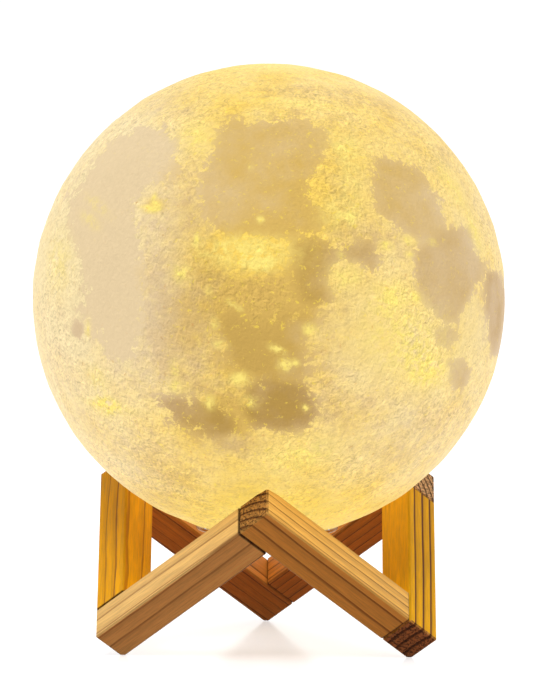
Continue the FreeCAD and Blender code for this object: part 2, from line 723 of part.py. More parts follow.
def build_diffuser():
    """The opal cap that stands on the deck over the light board, with a bevel round its top."""
    inner = f"{diffuser_radius} - diffuser_wall"
    top, shoulder = "deck_top + diffuser_height", "deck_top + diffuser_height - diffuser_bevel"
    corner = "diffuser_wall*(sqrt(2) - 1)"
    cap = turned("diffuser", "light_diffuser", [
        (inner, "deck_top"),
        (diffuser_radius, "deck_top"),
        (diffuser_radius, shoulder),
        (f"{diffuser_radius} - diffuser_bevel", top),
        ("0", top),
        ("0", f"{top} - diffuser_wall"),
        (f"{diffuser_radius} - diffuser_bevel - {corner}", f"{top} - diffuser_wall"),
        (inner, f"{shoulder} - {corner}"),
    ])
    return [cap]


def wire(points):
    """An insulated wire along straight runs, folded sharply at the corner, from points in millimetres."""
    start, corner = FreeCAD.Vector(*points[0]), FreeCAD.Vector(*points[1])
    section = Part.Wire([Part.makeCircle(size("wire_radius"), start, corner - start)])
    sharp_corners = 1
    made = Part.makePolygon([FreeCAD.Vector(*point) for point in points]).makePipeShell(
        [section], True, False, sharp_corners)
    length = sum(math.dist(here, there) for here, there in zip(points, points[1:]))
    wanted = math.pi * size("wire_radius") ** 2 * length
    if abs(made.Volume - wanted) > 0.01 * wanted:
        raise RuntimeError(f"a wire holds {made.Volume:.2f} mm3 and not {wanted:.2f}")
    return made


def build_leads():
    """The light board's two wires and the battery's two."""
    foot = worked_out(moon_foot)
    board = foot + worked_out(board_top)
    spread = size("wire_spread")
    x_up = worked_out(led_lead_place)
    z_over = foot + worked_out(led_board_top) + size("wire_radius")
    light_wires = [
        wire([(x_up, y, board), (x_up, y, z_over), (x_up - size("led_lead_reach"), y, z_over)])
        for y in (-spread, spread)
    ]
    x_end = -worked_out(battery_length) / 2
    x_down = -worked_out(battery_lead_place)
    z_out = foot + worked_out(battery_bottom) + size("battery_height") / 2
    battery_wires = [
        wire([(x_end, y, z_out), (x_down, y, z_out), (x_down, y, board)])
        for y in (-spread, spread)
    ]
    made = []
    for label, wires in (("light_lead", light_wires), ("battery_lead", battery_wires)):
        lead = doc.addObject("Part::Feature", label)
        lead.Shape = Part.makeCompound(wires)
        lead.Label = label
        made.append(lead)
    return made


# ---------------------------------------------------------------- build and write

def check(pieces):
    """Stops if any object failed or any piece isn't a sound solid."""
    failed = [thing.Name for thing in doc.Objects if {"Invalid", "Error"} & set(thing.State)]
    if failed:
        raise RuntimeError(f"failed objects: {failed}")
    for piece in pieces:
        shape = piece.Shape
        if shape.isNull() or not shape.isValid() or not shape.Solids:
            raise RuntimeError(f"{piece.Label} has no sound solid")
        if min(solid.Volume for solid in shape.Solids) <= 0:
            raise RuntimeError(f"{piece.Label} has an inside-out solid")


pieces = (
    build_stand() + build_shell() + build_collar() + build_base() + build_ring_and_cover() + build_board()
    + build_button_and_switch() + build_battery() + build_light_board() + build_diffuser() + build_leads()
)
doc.recompute()
check(pieces)
os.makedirs("parts", exist_ok=True)
for piece in pieces:
    piece.Shape.exportStep(f"parts/{piece.Label}.step")
    print(f"{piece.Label}: {len(piece.Shape.Solids)} solid(s), {piece.Shape.Volume:.1f} mm3")
print(f"moon centre {worked_out(moon_centre):.3f} mm up, lowest point {worked_out(moon_foot):.3f}")
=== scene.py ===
import json
import math
import random

import bmesh
import bpy
import numpy as np
from mathutils import Matrix, Quaternion, Vector, noise


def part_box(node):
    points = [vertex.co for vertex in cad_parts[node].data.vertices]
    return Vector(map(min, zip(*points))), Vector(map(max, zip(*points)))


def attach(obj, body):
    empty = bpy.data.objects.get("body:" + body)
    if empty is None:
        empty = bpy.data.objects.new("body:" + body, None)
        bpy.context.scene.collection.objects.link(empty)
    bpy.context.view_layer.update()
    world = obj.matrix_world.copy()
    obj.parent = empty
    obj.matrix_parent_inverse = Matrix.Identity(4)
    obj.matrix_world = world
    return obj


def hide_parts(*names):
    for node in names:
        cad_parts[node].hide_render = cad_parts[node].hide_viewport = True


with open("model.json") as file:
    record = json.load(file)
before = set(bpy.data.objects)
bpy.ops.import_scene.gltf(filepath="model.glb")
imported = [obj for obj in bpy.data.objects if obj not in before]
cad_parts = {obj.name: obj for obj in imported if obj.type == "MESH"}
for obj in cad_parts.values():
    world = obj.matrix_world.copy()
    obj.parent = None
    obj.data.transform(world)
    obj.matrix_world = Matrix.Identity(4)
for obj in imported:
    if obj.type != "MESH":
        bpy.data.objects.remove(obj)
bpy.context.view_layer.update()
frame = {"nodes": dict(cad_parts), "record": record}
print("frame loaded")

# The camera stands as far back as for a product photo, so there is almost no perspective.
cameraLook = {
    "place": (-0.0019, -2.5, 0.3691),
    "pitch": -0.1090,           # radians, minus is down
    "yaw": 0.00075,
    "roll": 0.0083,
    "lens": 414.4,              # mm
    "sensor": 36,               # mm, along the picture's long side
    "reach": 50,                # m
}


def turnTowards(pitch, yaw, roll):
    forward = Vector((math.sin(yaw) * math.cos(pitch), math.cos(yaw) * math.cos(pitch), math.sin(pitch)))
    return forward.to_track_quat("-Z", "Y") @ Quaternion((0, 0, 1), roll)


def makeCamera(look):
    data = bpy.data.cameras.new("camera")
    data.lens = look["lens"]
    data.sensor_width = look["sensor"]
    data.clip_end = look["reach"]
    camera = bpy.data.objects.new("camera", data)
    camera.location = look["place"]
    camera.rotation_mode = "QUATERNION"
    camera.rotation_quaternion = turnTowards(look["pitch"], look["yaw"], look["roll"])
    bpy.context.scene.collection.objects.link(camera)
    bpy.context.scene.camera = camera


makeCamera(cameraLook)
print("camera placed")


def linear(red, green, blue):
    def straighten(value):
        value /= 255
        return value / 12.92 if value <= 0.04045 else ((value + 0.055) / 1.055) ** 2.4
    return (straighten(red), straighten(green), straighten(blue), 1)


# Each value is either a number or colour to set on a socket, or another node's socket to link to it.
def feed(tree, sockets, values):
    for socket, value in values.items():
        if isinstance(value, bpy.types.NodeSocket):
            tree.links.new(value, sockets[socket])
        else:
            sockets[socket].default_value = value


def addNode(tree, kind, values=None, **settings):
    made = tree.nodes.new("ShaderNode" + kind)
    for setting, value in settings.items():
        setattr(made, setting, value)
    feed(tree, made.inputs, values or {})
    return made


def maths(tree, operation, *values, clamp=False):
    return addNode(tree, "Math", dict(enumerate(values)), operation=operation, use_clamp=clamp).outputs[0]


def plus(tree, first, second, clamp=False):
    return maths(tree, "ADD", first, second, clamp=clamp)


def minus(tree, first, second):
    return maths(tree, "SUBTRACT", first, second)


def times(tree, first, second, clamp=False):
    return maths(tree, "MULTIPLY", first, second, clamp=clamp)


# Noise runs from 0 to 1 round a half, so this makes it swing both ways by the amount.
def swing(tree, value, amount):
    return times(tree, minus(tree, value, 0.5), amount)


def remap(tree, value, low, high, lowTo=0.0, highTo=1.0, smooth=True):
    kind = "SMOOTHSTEP" if smooth else "LINEAR"
    sockets = {0: value, 1: low, 2: high, 3: lowTo, 4: highTo}
    return addNode(tree, "MapRange", sockets, interpolation_type=kind).outputs[0]


def mixColours(tree, factor, first, second, blend="MIX"):
    made = addNode(tree, "Mix", {0: factor, 6: first, 7: second}, data_type="RGBA", blend_type=blend)
    return made.outputs[2]


def scaleColour(tree, colour, factor):
    grey = addNode(tree, "CombineColor", {0: factor, 1: factor, 2: factor}).outputs[0]
    return mixColours(tree, 1.0, colour, grey, "MULTIPLY")


def noiseOf(tree, vector, scale, detail, roughness, distortion=0.0):
    sockets = {
        "Vector": vector, "Scale": scale, "Detail": detail, "Roughness": roughness, "Distortion": distortion}
    return addNode(tree, "TexNoise", sockets).outputs[0]


def bump(tree, height, distance, strength):
    return addNode(tree, "Bump", {"Height": height, "Distance": distance, "Strength": strength}).outputs[0]


def startGroup(name, inputs, outputs):
    tree = bpy.data.node_groups.new(name, "ShaderNodeTree")
    kinds = {"float": "NodeSocketFloat", "colour": "NodeSocketColor", "vector": "NodeSocketVector"}
    for way, sockets in (("INPUT", inputs), ("OUTPUT", outputs)):
        for kind, labels in sockets.items():
            for label in labels:
                tree.interface.new_socket(name=label, in_out=way, socket_type=kinds[kind])
    return tree, tree.nodes.new("NodeGroupInput").outputs, tree.nodes.new("NodeGroupOutput").inputs


def startMaterial(name):
    material = bpy.data.materials.new(name)
    material.use_nodes = True
    tree = material.node_tree
    where = addNode(tree, "TexCoord").outputs["Object"]
    return material, tree, tree.nodes["Principled BSDF"].inputs, where


# 1 for what the camera, a mirror or a glass sees, 0 for the light that things pass to each other.
def seenDirectly(tree):
    rays = addNode(tree, "LightPath").outputs
    through = plus(tree, rays["Is Glossy Ray"], rays["Is Transmission Ray"])
    return plus(tree, rays["Is Camera Ray"], through, clamp=True)


# Lengths are in metres, here and below, where a comment doesn't say otherwise.
moonLook = {
    "around": 384,              # faces round the globe
    "upwards": 192,             # faces from pole to pole
    "insideUpwards": 30,        # the same for the inner wall, which stays smooth
    "wall": 0.0016,
    "opening": 0.023,           # radius of the hole below
    "openingEase": 0.02,        # share of the radius over which the relief sets in above the hole
    "mareDrop": 0.00012,        # how much lower the plains lie
    "mareEase": 0.5,            # how far outside a plain's border the drop sets in
    "roughness": 0.00016,       # swells of the highlands
    "swell": (9, 5, (0.4, 0.2, 5.3)),           # scale, octaves, shift
    "calm": 0.8,                # share of its roughness that a plain loses
}

craterLook = {
    "count": 320,
    "seed": 7,
    "smallest": 0.014,          # radii, as shares of the globe's
    "largest": 0.075,
    "spread": -0.45,            # power that makes most of them small
    "reach": 2,                 # in crater radii, as are the next two
    "rimPlace": 1.05,
    "rimWidth": 0.22,
    "rimHeight": 0.45,          # as a share of the depth
    "depth": 0.0032,            # m, for a crater as large as the globe
    "calm": 0.85,               # share of its craters that a plain loses
}

# The Moon's face is drawn flat, in pixels of the 537 x 690 photo, and laid on the globe from the front.
faceLook = {
    "centre": (269.35, 305.84),
    "radius": 238.4,
    "pitch": -0.1090,           # how the face is turned on the globe, in radians
    "yaw": 0.00075,
    "roll": 0.0083,
    "fade": 0.5,                # how far round the side it fades out, as a share of the radius
    "farSwell": (1.5, 5, (3.1, 7.7, 1.9)),      # scale, octaves, shift of the plains behind
    "farLevel": 0.22,           # noise above this is a plain
    "farEdge": 4,               # how sharp its border is
    "farDepth": 0.3,            # how dark it is
    "farGlow": 0.35,
    "levels": (-2.0, 1.6),      # lowest outside a plain and highest inside it; its border is 0
    "depthEdge": 0.4,           # share of a plain's darkness at its border
    "depthSlope": 0.6,          # how fast the rest sets in
    "mostDusky": 1.3,
    "mostGlow": 1.2,
    "bottomGlow": (0.8, 0.18),  # how low it starts and how fast it sets in, as shares of the radius
}

# edge is the width of the ragged border in pixels, dark how dark the plain is inside
moonPlains = {
    "west": {"edge": 9, "dark": 0.0, "outline": [
        (137, 129), (114, 149), (95, 170), (78, 188), (68, 205), (65, 228), (71, 251), (83, 272),
        (88, 296), (86, 316), (93, 332), (105, 345), (116, 366), (127, 373), (140, 352), (146, 320),
        (144, 290), (146, 262), (140, 236), (136, 214), (146, 196), (160, 188), (176, 178),
        (179, 150), (165, 135),
    ]},
    "centre": {"edge": 7, "dark": 0.2, "outline": [
        (221, 131), (233, 127), (250, 131), (258, 128), (285, 127), (310, 131), (327, 139),
        (331, 150), (321, 170), (312, 186), (305, 200), (313, 213), (332, 224), (320, 240),
        (290, 246), (262, 245), (235, 243), (214, 240), (203, 226), (199, 205), (202, 181),
        (207, 163), (217, 149),
    ]},
    "northEast": {"edge": 6, "dark": 0.28, "outline": [
        (375, 163), (388, 162), (404, 170), (419, 171), (427, 187), (438, 200), (443, 214),
        (446, 234), (458, 240), (456, 254), (434, 256), (412, 247), (392, 236), (379, 222),
        (369, 208), (369, 187),
    ]},
    "east": {"edge": 6, "dark": 0.46, "outline": [
        (440, 236), (469, 231), (477, 243), (478, 259), (486, 270), (482, 286), (472, 299),
        (464, 314), (457, 330), (440, 332), (429, 318), (419, 300), (412, 283), (412, 262),
        (424, 248),
    ]},
    "eastLimb": {"edge": 5, "dark": 0.7, "outline": [
        (484, 279), (500, 276), (516, 300), (516, 340), (508, 364), (493, 366), (487, 345),
        (484, 312),
    ]},
    "limbMiddle": {"edge": 6, "dark": 0.4, "outline": [
        (430, 334), (452, 332), (458, 345), (448, 356), (432, 351),
    ]},
    "limbLow": {"edge": 6, "dark": 0.45, "outline": [
        (446, 366), (462, 362), (472, 376), (468, 393), (455, 397), (446, 384),
    ]},
    "middleRight": {"edge": 10, "dark": 0.62, "outline": [
        (294, 250), (310, 246), (341, 250), (372, 246), (380, 262), (376, 282), (352, 272),
        (334, 276), (328, 292), (333, 310), (318, 316), (298, 312), (292, 290),
    ]},
    "core": {"edge": 14, "dark": 0.52, "outline": [
        (212, 322), (234, 310), (256, 322), (284, 312), (312, 318), (320, 336), (306, 352),
        (316, 372), (304, 396), (262, 394), (240, 384), (228, 372), (216, 350),
    ]},
    "south": {"edge": 9, "dark": 1.0, "outline": [
        (244, 392), (262, 380), (284, 384), (306, 388), (318, 404), (320, 420), (310, 437),
        (281, 439), (254, 436), (240, 414),
    ]},
    "southWest": {"edge": 10, "dark": 0.95, "outline": [
        (156, 404), (172, 396), (200, 401), (222, 408), (240, 424), (238, 442), (214, 448),
        (196, 438), (172, 430),
    ]},
    "oval": {"edge": 3, "dark": 0.45, "outline": [
        (75, 330), (80, 326), (85, 331), (86, 341), (83, 347), (77, 346), (73, 340),
    ]},
}

# softly darker patches: x, y, half width, half height, turn in degrees, how dark
moonDusky = [
    (166, 250, 26, 84, 0, 0.75), (163, 335, 28, 46, 0, 0.85), (204, 290, 24, 66, 0, 0.75),
    (200, 215, 14, 40, 0, 0.4), (262, 305, 78, 34, 0, 0.95), (262, 360, 68, 54, 0, 1.0),
    (232, 420, 36, 26, 0, 1.0), (228, 448, 22, 11, 15, 1.0), (345, 190, 24, 60, 0, 0.65),
    (352, 240, 48, 16, 20, 0.7), (322, 100, 40, 9, 4, 0.5), (386, 112, 28, 9, 30, 0.4),
    (440, 168, 14, 14, 40, 0.6), (478, 216, 8, 34, -30, 0.3), (150, 472, 54, 34, 30, 0.55),
    (420, 435, 54, 44, -30, 0.5), (165, 108, 32, 9, -30, 0.4), (192, 119, 14, 7, 0, 0.5),
    (278, 98, 30, 6, 0, 0.4), (80, 338, 8, 11, 0, 0.6), (63, 322, 4, 4, 0, 0.6),
    (122, 368, 16, 12, 0, 0.45), (180, 385, 26, 22, 0, 0.5), (331, 405, 20, 24, 0, 0.5),
    (366, 406, 9, 7, 0, 0.6), (329, 424, 10, 8, 0, 0.6), (300, 455, 50, 14, 0, 0.3),
    (92, 305, 8, 26, -8, 0.35), (345, 465, 60, 24, 0, 0.2), (205, 500, 70, 30, 10, 0.25),
    (100, 400, 40, 24, 0, 0.2), (485, 330, 8, 40, 0, 0.4), (400, 250, 20, 10, 20, 0.4),
    (298, 119, 7, 4, 0, 0.8), (110, 210, 60, 8, 60, 0.2), (420, 130, 60, 40, 40, 0.25),
    (60, 370, 30, 60, 10, 0.12),
]

# bright patches and ray craters: x, y, half width, half height, turn, how bright
moonBright = [
    (159, 214, 4, 3, 0, 2.0), (151, 217, 8, 2.5, 8, 1.2), (156, 206, 2.5, 5, 20, 0.7),
    (262, 272, 12, 6, 0, 1.2), (245, 260, 44, 15, 0, 0.75), (261, 228, 3, 3, 0, 1.0),
    (250, 175, 3, 3, 0, 0.6), (385, 254, 6, 4, 0, 1.0), (407, 248, 6, 4, 0, 1.0),
    (431, 250, 4, 3, 0, 0.6), (408, 262, 4, 3, 0, 0.6), (413, 304, 4, 4, 0, 0.9),
    (389, 303, 18, 14, 0, 0.6), (400, 345, 44, 34, 20, 0.55), (425, 378, 18, 16, 0, 0.7),
    (310, 337, 6, 5, 30, 1.2), (278, 356, 7, 3, 20, 1.2), (285, 371, 6, 5, 0, 1.1),
    (222, 351, 6, 3, 0, 1.0), (216, 330, 3, 5, 0, 0.8), (296, 369, 3, 3, 0, 0.9),
    (305, 413, 3, 3, 0, 1.0), (240, 385, 9, 6, 0, 0.9), (250, 407, 7, 5, 0, 0.9),
    (211, 408, 6, 6, 0, 0.8), (184, 282, 9, 9, 0, 0.7), (177, 374, 4, 8, 0, 0.7),
    (178, 392, 8, 6, 0, 0.6), (300, 460, 36, 16, -12, 0.6), (108, 412, 10, 8, 20, 1.0),
    (112, 412, 26, 5, 12, 0.5), (100, 385, 10, 16, -30, 0.35), (345, 285, 14, 12, 0, 0.6),
    (340, 262, 4, 4, 0, 0.4), (335, 222, 16, 16, -30, 0.45), (349, 226, 7, 7, 0, 0.6),
    (350, 185, 12, 34, -10, 0.4), (345, 155, 20, 12, 30, 0.4), (300, 112, 40, 4, 6, 0.4),
    (262, 68, 110, 10, 0, 0.4), (197, 145, 14, 15, 0, 0.6), (450, 190, 8, 30, -30, 0.45),
    (475, 240, 5, 20, -20, 0.5), (90, 335, 2, 8, 8, 0.7), (60, 270, 14, 30, 0, 0.3),
    (232, 310, 4, 3, 0, 0.7), (240, 315, 3, 3, 0, 0.6), (270, 515, 60, 20, 0, 0.3),
    (92, 228, 10, 5, 40, 0.4), (98, 212, 14, 5, 40, 0.35), (210, 298, 3, 5, 0, 0.5),
    (198, 247, 3, 7, 20, 0.6),
]

# where the lamp inside shows through as yellow: x, y, half width, half height, turn, how yellow
moonGlow = [
    (262, 250, 84, 190, 0, 0.72), (335, 205, 60, 70, 0, 0.4), (262, 545, 130, 60, 0, 0.9),
    (157, 213, 9, 6, 0, 0.7), (440, 300, 110, 220, 0, 0.5), (262, 78, 190, 44, 0, 0.42),
    (190, 480, 90, 60, 0, 0.4), (345, 500, 80, 60, 0, 0.35), (400, 140, 80, 60, 30, 0.4),
    (190, 300, 40, 110, 0, 0.35), (262, 320, 70, 80, 0, 0.5), (110, 420, 60, 50, 0, 0.2),
    (210, 110, 60, 40, 0, 0.25), (260, 415, 90, 40, 0, 0.35), (200, 425, 40, 26, 0, 0.25),
    (228, 165, 34, 34, 0, 0.28),
]


def facePlace(directions, look):
    centre, radius = look["centre"], look["radius"]
    face = turnTowards(look["pitch"], look["yaw"], look["roll"]).to_matrix()
    toRight, toUp, outwards = (np.array(face.col[axis]) for axis in range(3))
    across = centre[0] + radius * directions @ toRight
    down = centre[1] - radius * directions @ toUp
    return across, down, directions @ outwards


# Distance to the outline in pixels, positive inside it and negative outside.
def insideOutline(across, down, outline):
    corners = np.array(outline, float)
    nearest = np.full(across.shape, np.inf)
    inside = np.zeros(across.shape, bool)
    for here, there in zip(corners, np.roll(corners, -1, axis=0)):
        along = there - here
        share = ((across - here[0]) * along[0] + (down - here[1]) * along[1]) / (along @ along)
        share = np.clip(share, 0, 1)
        apart = np.hypot(across - here[0] - share * along[0], down - here[1] - share * along[1])
        nearest = np.minimum(nearest, apart)
        crosses = (here[1] > down) != (there[1] > down)
        with np.errstate(divide="ignore", invalid="ignore"):
            meets = here[0] + (down - here[1]) * along[0] / along[1]
        inside ^= crosses & (across < meets)
    return np.where(inside, nearest, -nearest)


def softPatches(across, down, patches):
    total = np.zeros(across.shape)
    for x, y, halfWidth, halfHeight, turn, amount in patches:
        angle = math.radians(turn)
        along = (across - x) * math.cos(angle) + (down - y) * math.sin(angle)
        aside = (down - y) * math.cos(angle) - (across - x) * math.sin(angle)
        total += amount * np.exp(-(along / halfWidth) ** 2 - (aside / halfHeight) ** 2)
    return total


def fractalOf(directions, scale, octaves, shift):
    offset = Vector(shift)
    fading, finer = 1.0, 2.1    # how fast the finer octaves fade, and how much finer each one is
    return np.array([
        noise.fractal(Vector(point) * scale + offset, fading, finer, octaves) for point in directions])


def moonFields(directions, look):
    across, down, outwards = facePlace(directions, look)
    front = np.clip(1 + outwards / look["fade"], 0, 1)
    front = front * front * (3 - 2 * front)
    farthestOut, farthestIn = look["levels"]
    plains = np.full(across.shape, farthestOut)
    depth = np.zeros(across.shape)
    for plain in moonPlains.values():
        level = insideOutline(across, down, plain["outline"]) / plain["edge"]
        level = np.clip(level, farthestOut, farthestIn)
        plains = np.maximum(plains, level)
        deep = np.clip(level * look["depthSlope"] + look["depthEdge"], 0, 1)
        depth = np.maximum(depth, plain["dark"] * deep)

    # behind, where the photo shows nothing, a few plains come from noise
    farPlains = (fractalOf(directions, *look["farSwell"]) - look["farLevel"]) * look["farEdge"]
    farPlains = np.clip(farPlains, -1, 1)
    back = 1 - front
    fields = {
        "plains": plains * front + farPlains * back,
        "depth": depth * front + look["farDepth"] * np.clip(farPlains, 0, 1) * back,
        "dusky": np.clip(softPatches(across, down, moonDusky), 0, look["mostDusky"]) * front,
        "bright": softPatches(across, down, moonBright) * front,
        "glow": np.clip(softPatches(across, down, moonGlow), 0, look["mostGlow"]) * front
                + look["farGlow"] * back,
    }
    start, ease = look["bottomGlow"]
    fields["glow"] = np.maximum(fields["glow"], np.clip((-directions[:, 2] - start) / ease, 0, 1))
    return fields


def craterRelief(directions, plains, look):
    rng = random.Random(look["seed"])
    relief = np.zeros(len(directions))
    calm = np.clip(1 - np.clip(plains, 0, 1) * look["calm"], 0, 1)
    for _ in range(look["count"]):
        height = rng.uniform(-1, 1)
        angle = rng.uniform(0, 2 * math.pi)
        level = math.sqrt(1 - height * height)
        centre = np.array((level * math.cos(angle), level * math.sin(angle), height))
        size = min(look["smallest"] * rng.random() ** look["spread"], look["largest"])
        apart = np.linalg.norm(directions - centre, axis=1) / size
        bowl = np.where(apart < 1, apart ** 2 - 1, 0)
        rim = look["rimHeight"] * np.exp(-((apart - look["rimPlace"]) / look["rimWidth"]) ** 2)
        relief += np.where(apart < look["reach"], (bowl + rim) * size * look["depth"] * calm, 0)
    return relief


# Cuts a ball open below the given level and keeps what is above.
def openBelow(bm, level, tolerance):
    bmesh.ops.bisect_plane(
        bm, geom=bm.verts[:] + bm.edges[:] + bm.faces[:], dist=tolerance,
        plane_co=(0, 0, -level), plane_no=(0, 0, 1), clear_inner=True)


def moonRelief(directions, plains, rim, look):
    calm = np.clip(1 - np.clip(plains, 0, 1) * look["calm"], 0, 1)
    swell = fractalOf(directions, *look["swell"])
    relief = look["roughness"] * swell * calm - look["mareDrop"] * np.clip(plains + look["mareEase"], 0, 1)
    relief += craterRelief(directions, plains, craterLook)
    relief -= relief.max()
    return relief * np.clip((directions[:, 2] + rim) / look["openingEase"], 0, 1)


# It is made by itself, because adding it to the large ball face by face is slow.
def makeInnerWall(look, around, inner):
    wall = bmesh.new()
    bmesh.ops.create_uvsphere(wall, u_segments=around, v_segments=look["insideUpwards"], radius=inner)
    openBelow(wall, math.sqrt(inner ** 2 - look["opening"] ** 2), 1e-8)
    bmesh.ops.reverse_faces(wall, faces=wall.faces)
    mesh = bpy.data.meshes.new("inside wall")
    wall.to_mesh(mesh)
    wall.free()
    return mesh


def makeMoon(look, material):
    shellLow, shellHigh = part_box("moon_shell")
    radius = (shellHigh.x - shellLow.x) / 2
    centre = Vector((0, 0, shellHigh.z - radius))
    share = 1
    around = look["around"] // share

    bm = bmesh.new()
    bmesh.ops.create_uvsphere(bm, u_segments=around, v_segments=look["upwards"] // share, radius=1)
    rim = math.sqrt(1 - (look["opening"] / radius) ** 2)
    openBelow(bm, rim, 1e-6)
    directions = np.array([vertex.co.normalized() for vertex in bm.verts])
    fields = moonFields(directions, faceLook)
    relief = moonRelief(directions, fields["plains"], rim, look)
    layers = {name: bm.verts.layers.float.new(name) for name in fields}
    for number, vertex in enumerate(bm.verts):
        vertex.co = Vector(directions[number]) * (radius + relief[number])
        for name, layer in layers.items():
            vertex[layer] = fields[name][number]

    wall = makeInnerWall(look, around, radius - look["wall"])
    bm.from_mesh(wall)
    bpy.data.meshes.remove(wall)
    bmesh.ops.bridge_loops(bm, edges=[edge for edge in bm.edges if edge.is_boundary])
    bmesh.ops.translate(bm, verts=bm.verts, vec=centre)
    bmesh.ops.recalc_face_normals(bm, faces=bm.faces)

    mesh = bpy.data.meshes.new("moon_globe")
    bm.to_mesh(mesh)
    bm.free()
    mesh.polygons.foreach_set("use_smooth", [True] * len(mesh.polygons))
    mesh.materials.append(material)
    moon = bpy.data.objects.new("moon_globe", mesh)
    bpy.context.scene.collection.objects.link(moon)
    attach(moon, "globe")
    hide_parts("moon_shell")
    return moon


# "Edge" is the colour where the lamp inside shows through least, "Core" where it shows through most.
globeFinish = {
    "highlandEdge": linear(248, 226, 173),
    "highlandCore": linear(251, 213, 98),
    "plainEdge": linear(234, 209, 165),
    "plainCore": linear(225, 187, 98),
    "deepEdge": linear(198, 166, 128),
    "deepCore": linear(182, 146, 74),
    "brightSpot": linear(255, 231, 124),
    "fleck": linear(255, 224, 84),
    "pit": linear(206, 150, 84),
    "lit": 0.92,                # share of the colour that the lamp inside gives
    "surface": 0.08,            # share that the room's light gives
    "roughness": 0.55,
    "specular": 0.15,
    "bumpDepth": 0.0008,
    "bumpStrength": 0.8,
}

# noise: scale, detail, roughness and, where there is one, distortion
globeNoise = {
    "broad": (70, 6, 0.62),
    "ragged": (330, 7, 0.70, 0.5),
    "blotches": (560, 5, 0.66, 0.8),
    "fine": (1500, 4, 0.7),
    "streaks": (1.0, 5, 0.65, 0.6),
    "flecks": (640, 4, 0.62, 0.6),
    "pits": (480, 5, 0.70, 0.4),
    "patches": (42, 3, 0.5),
}

# A name ending in Step holds what remap takes: from low, from high and, where given, to low, to high.
globeGrain = {
    "streakTurn": (0, 0.55, 0),
    "streakScale": (150, 500, 620),
    "paintedReliefShift": (-0.00035, 0.0, 0.00045),         # m, up and to the left, towards the light painted on the bumps
    "plainRagged": (3.6, 6.5),                  # how far broad and ragged noise move a plain's border
    "plainStep": (-0.18, 0.24),
    "duskyRagged": (1.8, 3.6),
    "duskyStep": (-0.05, 1.15),
    "duskyDeep": 0.25,                          # share of the deep colour in a dusky patch
    "depthStep": (0.3, 0.7, 0.75, 1.25),
    "glowSwing": 1.0,
    "goldStep": (0.25, 1.0),
    "brightStep": (0.38, 0.58, 0.0, 1.7),
    "plainCalm": 0.72,                          # share of its grain that a plain loses
    "fleckStep": (0.60, 0.68),
    "fleckShare": 0.6,
    "pitStep": (0.60, 0.72),
    "pitShare": 0.5,
    "lowStep": (0.075, 0.115, 1.0, 0.15),       # m above the floor
    "patchStep": (0.35, 0.65, 0.5, 1.3),
    # how strongly each bump is painted lit on one side and shaded on the other
    "paintedRelief": 0.85,
    "fine": 0.30,
    "blotches": 0.50,
    "broad": 0.16,
    "streaks": 0.34,
    "level": 0.99,
    "paintedLowLight": 0.04,                            # painted light: how much brighter the low part is painted, making up for the room light it gets less of
}


